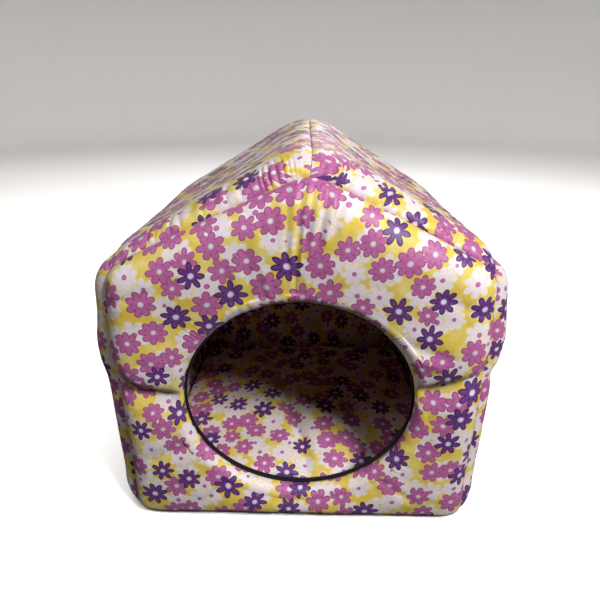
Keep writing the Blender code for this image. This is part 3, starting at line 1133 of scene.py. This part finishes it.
@dataclass
class FrontPanel(FacePanel):
    """The five-sided front pad with its entrance, folds and creases."""

    entrance: Entrance
    steps: int = 84
    roll_steps: int = 26
    face_steps: int = 74
    face_pull: float = 0.55
    inside_steps: int = 12
    fold_ends: float = 0.012
    crease_edge: float = 0.008
    even_edge: float = 0.02
    unevenness: tuple[tuple[float, float, int], ...] = ((0.0008, 0.050, 70), (0.0003, 0.016, 71))
    seam_puckers: Gathers = Gathers(0.0095, 0.0007, 0.016, 0, 9, 72)
    rim_puckers: Gathers = Gathers(0.0105, 0.0007, 0.018, 0, 9, 74)
    cut_from: tuple[float, float] = (0.15, 0.55)
    inside_from: float = 1.3
    folds: tuple[Fold, ...] = (
        (-0.004, 0.410, -0.005, 0.302, 0.0016, 0.007),
        (0.018, 0.402, 0.012, 0.365, 0.0020, 0.006),
        (-0.052, 0.345, -0.047, 0.298, 0.0016, 0.007),
        (0.095, 0.252, 0.150, 0.240, 0.0020, 0.008),
        (-0.110, 0.120, -0.165, 0.095, 0.0018, 0.009),
        (0.060, 0.390, 0.052, 0.350, 0.0014, 0.007),
    )
    creases: tuple[Fold, ...] = (
        (-0.0125, 0.420, -0.0085, 0.330, -0.0011, 0.0024),
        (-0.0065, 0.420, -0.0050, 0.318, 0.0010, 0.0022),
        (-0.0010, 0.420, -0.0010, 0.345, -0.0010, 0.0022),
        (0.0045, 0.415, 0.0030, 0.362, 0.0010, 0.0024),
        (-0.0200, 0.412, -0.0150, 0.345, 0.0013, 0.0024),
        (0.0110, 0.412, 0.0090, 0.368, -0.0014, 0.0024),
        (0.0175, 0.410, 0.0150, 0.372, 0.0014, 0.0026),
        (0.0250, 0.407, 0.0210, 0.368, -0.0014, 0.0028),
        (0.0320, 0.404, 0.0280, 0.376, 0.0013, 0.0026),
        (0.0400, 0.400, 0.0350, 0.372, -0.0012, 0.0030),
        (0.0480, 0.396, 0.0430, 0.372, 0.0010, 0.0030),
        (-0.0330, 0.403, -0.0290, 0.378, 0.0010, 0.0026),
        (-0.0450, 0.397, -0.0400, 0.370, 0.0010, 0.0030),
        (-0.0385, 0.318, -0.0330, 0.296, 0.0014, 0.0022),
        (-0.0300, 0.312, -0.0270, 0.296, -0.0009, 0.0022),
        (-0.0698, 0.320, -0.0645, 0.298, 0.0013, 0.0024),
        (0.100, 0.243, 0.140, 0.228, -0.0012, 0.0050),
        (0.130, 0.150, 0.180, 0.160, 0.0010, 0.0060),
        (-0.125, 0.210, -0.180, 0.230, 0.0010, 0.0060),
        (-0.120, 0.170, -0.175, 0.155, 0.0010, 0.0050),
        (0.090, 0.070, 0.130, 0.040, 0.0012, 0.0045),
        (-0.080, 0.062, -0.115, 0.030, 0.0012, 0.0045),
        (-0.020, 0.036, -0.026, 0.010, 0.0009, 0.0040),
        (0.150, 0.300, 0.185, 0.285, 0.0011, 0.0050),
        (-0.150, 0.305, -0.188, 0.292, 0.0011, 0.0050),
    )

    def drawn_in(self, x: Array, height: Array, folds: tuple[Fold, ...]) -> Array:
        """How far some folds draw the face in.

        Args:
            x: Place across the house.
            height: Place above the floor.
            folds: Upper end, lower end, depth and reach of each fold.

        Returns:
            The distance at every place.
        """
        total = np.zeros(np.shape(x))
        for high_x, high, low_x, low, depth, reach in folds:
            length = math.hypot(low_x - high_x, low - high)
            run_x, run_z = (low_x - high_x) / length, (low - high) / length
            along = (x - high_x) * run_x + (height - high) * run_z
            beside = (x - high_x) * run_z - (height - high) * run_x
            past = np.maximum(np.maximum(-along, along - length), 0)
            total = total + depth * bell(beside, reach) * bell(past, self.fold_ends)
        return total

    def rolled(self, edge: Array, way: Array, turn: float) -> Array:
        """A ring of points on the rolled rim.

        Args:
            edge: The opening's edge.
            way: The ways out from it.
            turn: The turn about the rim's core, from its back to the face.

        Returns:
            The points.
        """
        rim = self.entrance.rim
        middle = self.padding.face_depth - rim
        place = edge + way * (rim * (1 - math.cos(turn)))
        front = max(math.sin(turn), 0) ** 2
        fold = self.fold.draw_in(*place.T, self.fold.panel, self.fold.front_drop) * front
        return upright(place, fold - middle - rim * math.sin(turn))

    def face(self, start: Array, stations: Array, reach: Array, share: float) -> Array:
        """A ring of points on the face.

        Args:
            start: Where the face begins, beside the rim.
            stations: Where it ends, on the seam line.
            reach: How far each station lies from the edge.
            share: The ring's share of the way.

        Returns:
            The points.
        """
        pad = self.padding
        place = start + (stations - start) * share
        from_seam = (reach - self.entrance.rim) * (1 - share)
        seam = pad.seam(place[:, 1])
        lift = rounded(from_seam / pad.rounding(place[:, 1]))
        depth = seam + (pad.face_depth - seam) * lift + pad.face_crown * math.sin(math.pi * share)
        depth = depth - self.fold.draw_in(*place.T, self.fold.panel, self.fold.front_drop) * lift
        depth = depth - self.drawn_in(*place.T, self.folds) * rounded(from_seam / pad.edge)
        depth = depth - self.drawn_in(*place.T, self.creases) * rounded(from_seam / self.crease_edge)
        if share == 1:
            depth = depth + pad.gap
        return upright(place, -depth)

    def uneven(self, outer: Array, reach: Array, shares: Array) -> Array:
        """Gives the outer skin small unevenness, none of it on the seam or behind the rim.

        Args:
            outer: The skin's points.
            reach: How far each station lies from the edge.
            shares: Every ring's share of the way to the seam.

        Returns:
            The moved points.
        """
        x, z = outer[..., 0], outer[..., 2]
        from_seam = np.clip((reach - self.entrance.rim)[None, :] * (1 - shares)[:, None], 0, 1)
        past_rim = (np.arange(len(outer)) > self.roll_steps // 2)[:, None]
        where = rounded(from_seam / self.even_edge) * past_rim
        lift = waves(x, z, *self.unevenness)
        steps = np.linalg.norm(np.diff(outer[-1], axis=0, prepend=outer[-1][:1]), axis=-1)
        lift = lift + self.seam_puckers.lift(np.cumsum(steps)[None, :], from_seam)
        rim_run = np.linspace(0, TURN * self.entrance.half_width, outer.shape[1])
        from_rim = np.abs(reach[None, :] - self.entrance.rim - from_seam)
        lift = lift + self.rim_puckers.lift(rim_run[None, :], from_rim)
        forwards = np.broadcast_to(np.array([0.0, -1.0, 0.0]), outer.shape)
        return pushed_out(outer, lift * where, forwards)

    def build(self, cotton: bpy.types.Material) -> bpy.types.Object:
        """Builds and dresses the panel.

        Args:
            cotton: The printed cotton.

        Returns:
            The panel's cloth.
        """
        pad, rim = self.padding, self.entrance.rim
        stations, normals = self.seams.round_trip(self.steps)
        edge, way, reach = self.entrance.edge(stations)
        turns = np.linspace(-math.pi / 2, math.pi / 2, self.roll_steps + 1)
        start = edge + way * rim
        shares = spread(self.face_steps, self.face_pull)[1:]
        rings = [self.rolled(edge, way, turn) for turn in turns]
        rings += [self.face(start, stations, reach, share) for share in shares]
        outer = np.stack(rings)
        all_shares = np.concatenate([np.zeros(len(turns)), shares])
        outer = self.uneven(outer, reach, all_shares)
        inner_shares = spread(self.inside_steps, 0)[1:]
        inner = self.inner_skin(stations, normals, start, inner_shares, 2 * rim - pad.face_depth)
        flat = start[None] + way[None] * run_along(outer, 0, self.roll_steps)[..., None]
        inner_flat = inner[..., [0, 2]] + self.inside_from
        mesh = ClothMesh(self.cut_from)
        mesh.add_pad(pad.settled(outer), pad.settled(inner), flat, inner_flat)
        return dressed(mesh, "front_panel", cotton, PAD_FILL)


@dataclass
class RimBinding:
    """The black tape along the back of the rolled rim, wrapped further round the rim than the tape
    itself so that its black also covers the shadowed gap behind the rim: partly real tape, partly
    painted shadow.
    """

    seams: SeamLine
    padding: Padding
    entrance: Entrance
    thickness: float = 0.003
    gap: float = 0.0006
    # The tape's span round the rim is widened past the real tape to take in the dark gap behind it:
    # painted shadow.
    middle: float = math.radians(32)
    spread: float = math.radians(27)
    squareness: float = 0.35
    sides: int = 24
    steps: int = 72

    def build(self, tape: bpy.types.Material) -> bpy.types.Object:
        """Builds and dresses the tape.

        Args:
            tape: Its finish.

        Returns:
            The ring.
        """
        stations, _ = self.seams.round_trip(self.steps)
        edge, way, _ = self.entrance.edge(stations)
        rim = self.entrance.rim
        depth = self.padding.face_depth - rim
        rings = []
        for k in range(self.sides + 1):
            around = TURN * (k + 0.5) / self.sides
            across, over = math.cos(around), math.sin(around)
            square = 1 / max(abs(across), abs(over)) ** self.squareness
            turn = -self.middle + self.spread * square * across
            radius = rim + self.gap + self.thickness / 2 * (1 + square * over)
            place = edge + way * (rim - radius * math.cos(turn))
            rings.append(upright(place, -depth - radius * math.sin(turn)))
        points = np.stack(rings)
        flat = np.stack([run_along(points, 1, 0), run_along(points, 0, 0)], -1)
        mesh = ClothMesh()
        mesh.add(self.padding.settled(points), flat)
        return dressed(mesh, "rim_binding", tape, None)


@dataclass
class BackPanel(FacePanel):
    """The five-sided back pad, plain but for the waist fold."""

    steps: int = 60
    rings: int = 60
    thickness: float = 0.026
    inside_shares: tuple[float, ...] = (0.08, 0.25, 0.5, 0.75, 1)
    unevenness: tuple[tuple[float, float, int], ...] = ((0.0008, 0.05, 80), (0.0003, 0.016, 81))
    cut_from: tuple[float, float] = (0.9, 1.4)
    inside_from: float = 0.4

    def build(self, cotton: bpy.types.Material) -> bpy.types.Object:
        """Builds and dresses the panel.

        Args:
            cotton: The printed cotton.

        Returns:
            The panel's cloth.
        """
        pad = self.padding
        stations, normals = self.seams.round_trip(self.steps)
        middle = np.array([0, self.fold.height])
        reach = np.linalg.norm(stations - middle, axis=1)
        shares = np.sin(np.linspace(0, math.pi / 2, self.rings + 1))
        outer = []
        for share in shares:
            place = middle + (stations - middle) * share
            seam = pad.seam(place[:, 1])
            lift = rounded(reach * (1 - share) / pad.rounding(place[:, 1]))
            crown = pad.face_crown * math.cos(math.pi / 2 * share)
            depth = seam + (pad.face_depth - seam) * lift + crown
            depth = depth - self.fold.draw_in(*place.T, self.fold.panel) * lift
            depth = depth + (pad.gap if share == shares[-1] else 0)
            outer.append(upright(place, depth + waves(*place.T, *self.unevenness) * lift))
        outer = np.stack(outer)
        depth = pad.face_depth - self.thickness
        inner = self.inner_skin(stations, normals, middle, self.inside_shares, depth)
        towards = (stations - middle) / reach[:, None]
        flat = middle + towards[None] * run_along(outer, 0, 0)[..., None]
        inner_flat = inner[..., [0, 2]] + self.inside_from
        mesh = ClothMesh(self.cut_from)
        mesh.add_pad(pad.settled(outer), pad.settled(inner), flat, inner_flat)
        return dressed(mesh, "back_panel", cotton, PAD_FILL)


@dataclass
class FloorCushion:
    """The loose cushion on the floor: crowned, its sides drawn in, one soft crease."""

    seams: SeamLine
    padding: Padding
    half_width: float = 0.184
    half_depth: float = 0.163
    draw_in: float = 0.035
    clearance: float = 0.0004
    lower_seam: float = 0.0112
    upper_seam: float = 0.0176
    shoulder: float = 0.0144
    bulge: float = 0.016
    edge: float = 0.060
    crease: float = 0.006
    crease_reach: float = 0.012
    crease_start: float = 0.012
    crease_end: float = -0.070
    tuft: float = 0.0024
    tuft_reach: float = 0.0030
    tuft_wander: float = 0.004
    tuft_wander_size: float = 0.06
    unevenness: tuple[tuple[float, float, int], ...] = ((0.0016, 0.045, 90), (0.0007, 0.017, 91))
    edge_puckers: Gathers = Gathers(0.0110, 0.0016, 0.030, 0, 9, 94)
    cut_from: tuple[float, float] = (2.1, 0.3)
    rows: int = 200
    depth_rows: int = 150

    def build(self, cotton: bpy.types.Material) -> bpy.types.Object:
        """Builds and dresses the cushion.

        Args:
            cotton: The printed cotton.

        Returns:
            The cushion's cloth.
        """
        rows, depths = spread(self.rows), spread(self.depth_rows)
        u = (2 * rows - 1)[:, None] * np.ones(len(depths))
        v = (2 * depths - 1)[None, :] * np.ones((len(rows), 1))
        x = u * self.half_width * (1 - self.draw_in * np.abs(v) ** 3)
        y = v * self.half_depth * (1 - self.draw_in * np.abs(u) ** 3)
        from_side = np.minimum((1 - np.abs(u)) * self.half_width, self.edge) / self.edge
        from_end = np.minimum((1 - np.abs(v)) * self.half_depth, self.edge) / self.edge
        puff = np.sqrt(rounded(from_side) * rounded(from_end))
        floor = self.seams.floor_height + self.padding.inset + self.clearance
        line = self.crease_start + (self.crease_end - self.crease_start) * depths[None, :]
        crease = self.crease * bell(x - line, self.crease_reach) * puff
        crown = self.bulge * np.cos(u * math.pi / 2) * np.cos(v * math.pi / 2)
        top = np.stack([x, y, floor + self.upper_seam + self.shoulder * puff + crown - crease], -1)
        lift = waves(x, y, *self.unevenness)
        wandering = line + self.tuft_wander * unevenness(y, y, self.tuft_wander_size, 92)
        lift = lift - self.tuft * bell(x - wandering, self.tuft_reach)
        lift = lift + self.edge_puckers.lift(x, self.half_depth - np.abs(y))
        up = np.broadcast_to(np.array([0.0, 0.0, 1.0]), top.shape)
        top = pushed_out(top, lift * puff, up)
        under = np.stack([x, y, floor + self.lower_seam * (1 - puff)], -1)
        middle = len(rows) // 2, len(depths) // 2
        flat = np.stack([run_along(top, 0, middle[0]), run_along(top, 1, middle[1])], -1)
        mesh = ClothMesh(self.cut_from)
        mesh.add_skins(self.padding.settled(top), self.padding.settled(under), flat)
        return dressed(mesh, "floor_cushion", cotton, CUSHION_FILL)


def dressed(
    mesh: ClothMesh, node: str, material: bpy.types.Material, fill: float | None
) -> bpy.types.Object:
    """Makes a piece of its mesh, with its material and its place in the frame.

    Args:
        mesh: The piece's grids.
        node: The solid that it stands for.
        material: Its finish.
        fill: How full its padding is, or None for the tape; only whether it is None is read, to name
            the piece.

    Returns:
        The piece.
    """
    piece = mesh.finish(node + ("_tape" if fill is None else "_cloth"))
    piece.data.materials.append(material)
    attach(piece, "root")
    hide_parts(node)
    log.info("%s: %d faces", piece.name, len(piece.data.polygons))
    return piece


@dataclass(frozen=True)
class Lamp:
    """One soft studio light, aimed at the house."""

    name: str
    place: tuple[float, float, float]
    size: float
    power: float
    colour: Colour = (1.0, 1.0, 1.0)

    def build(self, aim: Vector) -> bpy.types.Object:
        """Hangs the lamp.

        Args:
            aim: The point that it faces.

        Returns:
            The lamp.
        """
        data = bpy.data.lights.new(self.name, "AREA")
        data.shape = "DISK"
        data.size = self.size
        data.energy = self.power
        data.color = self.colour
        lamp = bpy.data.objects.new(self.name, data)
        lamp.location = self.place
        lamp.rotation_mode = "QUATERNION"
        lamp.rotation_quaternion = (aim - lamp.location).to_track_quat("-Z", "Y")
        bpy.context.scene.collection.objects.link(lamp)
        return lamp


@dataclass(frozen=True)
class Studio:
    """The pale floor, the lights and the camera at the photograph's angle."""

    floor_reach: float = 3.2
    cove_radius: float = 1.4
    floor_drop: float = 0.0003
    floor_sides: int = 96
    cove_steps: int = 16
    aim: tuple[float, float, float] = (0, -0.05, 0.2)
    pitch: float = math.radians(25.6)
    yaw: float = math.radians(1.6)
    camera: tuple[float, float, float] = (0.0145, -0.6537, 0.510)
    focal_pixels: float = 508.0
    long_side_pixels: float = 616.0
    sensor: float = 36.0
    sky: Colour = (0.86, 0.87, 0.89)
    sky_strength: float = 0.007
    lamps: tuple[Lamp, ...] = (
        Lamp("key", (1.04, -1.18, 1.57), 0.56, 42.5, (1.0, 0.975, 0.975)),
        Lamp("fill", (-0.5, -1.3, 2.4), 1.0, 0.8, (1.0, 0.97, 0.98)),
        Lamp("side", (-1.20, -0.70, 1.35), 0.8, 6.0, (1.0, 0.97, 1.0)),
        Lamp("behind", (0.3, 1.7, 1.2), 1.0, 9.0),
    )
    wash: Lamp = Lamp("floor_wash", (0.0, 0.0, 3.4), 4.0, 210.0)

    def build(self, floor_finish: PaleFloor) -> None:
        """Sets up the studio.

        Args:
            floor_finish: The floor's finish.
        """
        turns = np.linspace(0, TURN, self.floor_sides + 1)[:, None]
        rise = np.linspace(0, math.pi / 2, self.cove_steps + 1)
        reach = np.concatenate([[0], self.floor_reach + self.cove_radius * np.sin(rise)])[None, :]
        height = np.concatenate([[0], self.cove_radius * (1 - np.cos(rise))])[None, :]
        points = np.stack([reach * np.cos(turns), reach * np.sin(turns), height + 0 * turns], -1)
        cove = ClothMesh()
        cove.add(points, points[..., :2])
        floor = cove.finish("floor")
        floor.location.z = -self.floor_drop
        floor.data.materials.append(floor_finish.make())
        floor.visible_diffuse = False
        floor.visible_glossy = False
        washed = bpy.data.collections.new("washed")
        washed.objects.link(floor)
        self.wash.build(Vector((0, 0, 0))).light_linking.receiver_collection = washed
        world = bpy.data.worlds.new("studio")
        world.use_nodes = True
        sky = world.node_tree.nodes["Background"]
        sky.inputs["Color"].default_value = (*self.sky, 1)
        sky.inputs["Strength"].default_value = self.sky_strength
        bpy.context.scene.world = world
        for lamp in self.lamps:
            lamp.build(Vector(self.aim))
        self.build_camera()

    def build_camera(self) -> None:
        """Places the camera."""
        data = bpy.data.cameras.new("camera")
        data.sensor_width = self.sensor
        data.lens = self.focal_pixels * self.sensor / self.long_side_pixels
        data.clip_start = 0.01
        camera = bpy.data.objects.new("camera", data)
        camera.location = self.camera
        flat = math.cos(self.pitch)
        forward = Vector((-math.sin(self.yaw) * flat, math.cos(self.yaw) * flat, -math.sin(self.pitch)))
        camera.rotation_mode = "QUATERNION"
        camera.rotation_quaternion = forward.to_track_quat("-Z", "Y")
        bpy.context.scene.collection.objects.link(camera)
        bpy.context.scene.camera = camera


def main() -> None:
    """Builds the house, piece by piece, and the studio around it."""
    logging.basicConfig(level=logging.INFO, format="%(message)s")
    fold = WaistFold()
    padding = Padding()
    seams = SeamLine(fold)
    entrance = Entrance()
    cotton = {
        "print_fabric": PrintedCotton("printed_cotton").make(),
        # The base and cushion copies are darker all over: painted shade for the pieces low down and
        # inside.
        "base_fabric": PrintedCotton("base_cotton", painted_shade_scale=0.94).make(),
        "cushion_fabric": PrintedCotton("cushion_cotton", painted_shade_scale=0.96).make(),
    }
    Surround(seams, fold, padding).build(cotton)
    FrontPanel(seams, fold, padding, entrance).build(cotton["print_fabric"])
    RimBinding(seams, padding, entrance).build(BlackTape().make())
    BackPanel(seams, fold, padding).build(cotton["print_fabric"])
    FloorCushion(seams, padding).build(cotton["cushion_fabric"])
    Studio().build(PaleFloor())
    view = bpy.context.scene.view_settings
    view.view_transform = "Standard"


if __name__ == "__main__":
    main()
